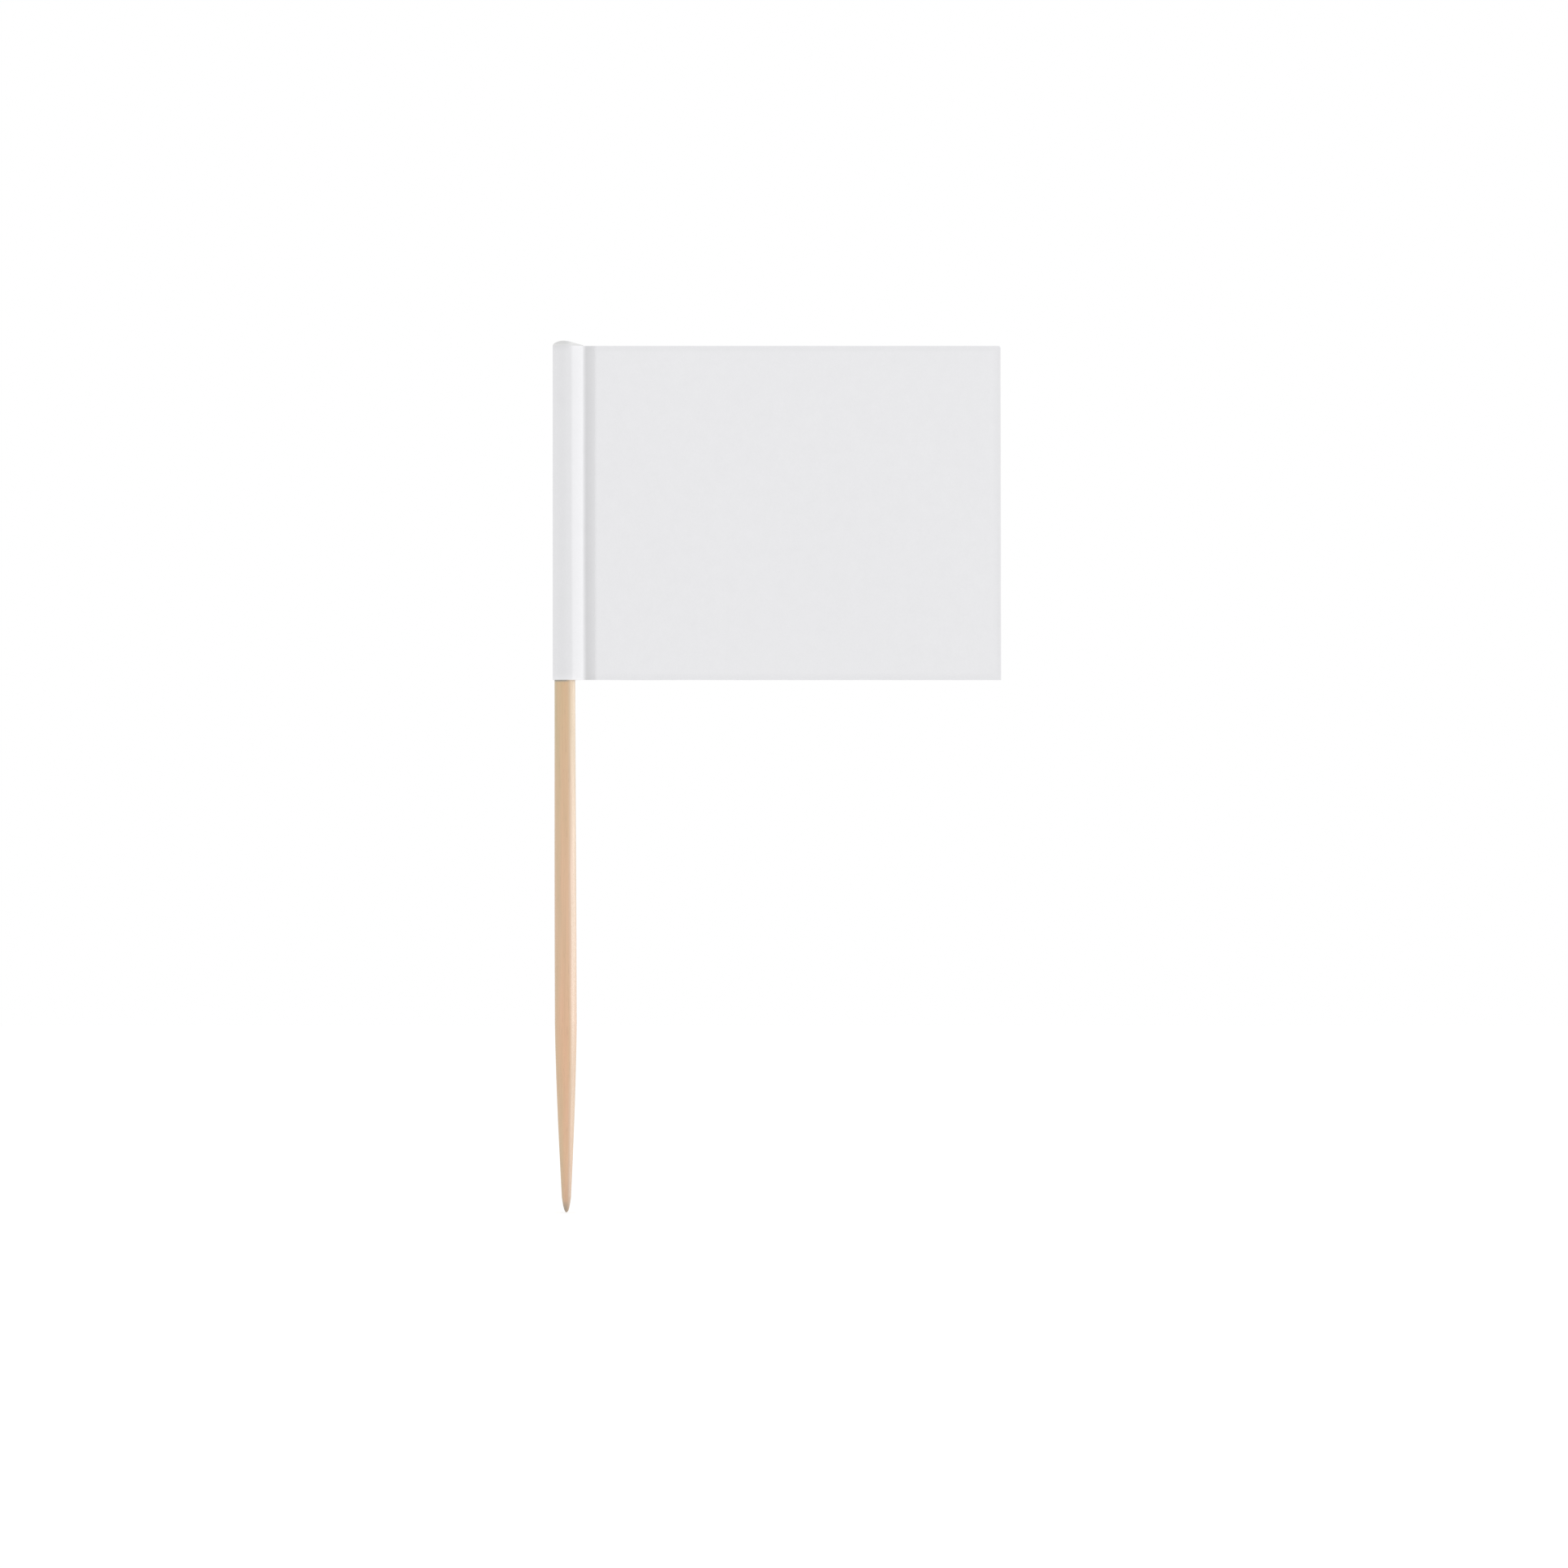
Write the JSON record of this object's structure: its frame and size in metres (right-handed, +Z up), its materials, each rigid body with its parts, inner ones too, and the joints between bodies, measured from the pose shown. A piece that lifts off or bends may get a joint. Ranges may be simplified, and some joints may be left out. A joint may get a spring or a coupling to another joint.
{
  "type": "flag pick",
  "caption": "Round wooden pick with a blunt point and a blank white paper flag, folded round its upper end and glued, for marking food.",
  "frame": {"origin": "the tip of the pick's point, on the pick's axis", "axes": "+Z up along the pick from its point to the flag, +X from the pick towards the flag's free edge, and the flag's front faces -Y"},
  "size_m": [0.0335, 0.0018, 0.0653],
  "materials": {
    "stick_wood": "satin",
    "white_paper": "matte",
    "dried_glue": "satin"
  },
  "bodies": {
    "root": {"pick": "stick_wood", "paper_flag": "white_paper", "glue": "dried_glue"}
  },
  "joints": []
}
